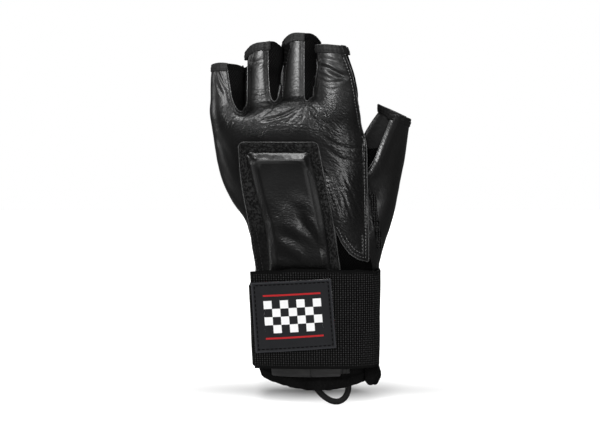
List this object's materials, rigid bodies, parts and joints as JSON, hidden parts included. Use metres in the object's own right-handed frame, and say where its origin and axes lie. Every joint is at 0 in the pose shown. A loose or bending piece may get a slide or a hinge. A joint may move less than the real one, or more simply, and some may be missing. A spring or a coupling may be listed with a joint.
{
  "type": "wrist guard glove",
  "caption": "Fingerless leather glove for the right hand with a padded palm splint, mesh back, stitched thumb and a wide elastic wrist strap.",
  "frame": {"origin": "middle of the wrist opening, at the lowest point of the cuff's hem", "axes": "+Z along the fingers, -Y out of the palm, +X towards the thumb"},
  "size_m": [0.1329, 0.0615, 0.2461],
  "materials": {
    "leather": "satin grained leather",
    "hem_leather": "turned and stitched leather",
    "pad_leather": "smooth leather over padding",
    "stretch_mesh": "matte stretch mesh",
    "cuff_fabric": "matte brushed fabric",
    "elastic_webbing": "matte woven elastic",
    "patch_rubber": "matte moulded rubber",
    "tab_rubber": "smooth satin rubber",
    "cord": "braided cord"
  },
  "bodies": {
    "root": {"palm_leather": "leather", "back_mesh": "stretch_mesh", "fourchette_pinky_ring": "stretch_mesh", "fourchette_ring_middle": "stretch_mesh", "fourchette_middle_index": "stretch_mesh", "hem_pinky": "hem_leather", "hem_ring": "hem_leather", "hem_middle": "hem_leather", "hem_index": "hem_leather", "index_tab": "hem_leather", "thumb_leather": "leather", "thumb_inner_leather": "leather", "thumb_gusset": "stretch_mesh", "hem_thumb": "hem_leather", "thumb_strip": "elastic_webbing", "pad_frame": "hem_leather", "pad_cushion": "pad_leather", "splint_tab": "tab_rubber", "wrist_cuff": "cuff_fabric", "cuff_tab": "cuff_fabric", "wrist_strap": "elastic_webbing", "label_patch": "patch_rubber", "hang_loop": "cord"}
  },
  "joints": []
}
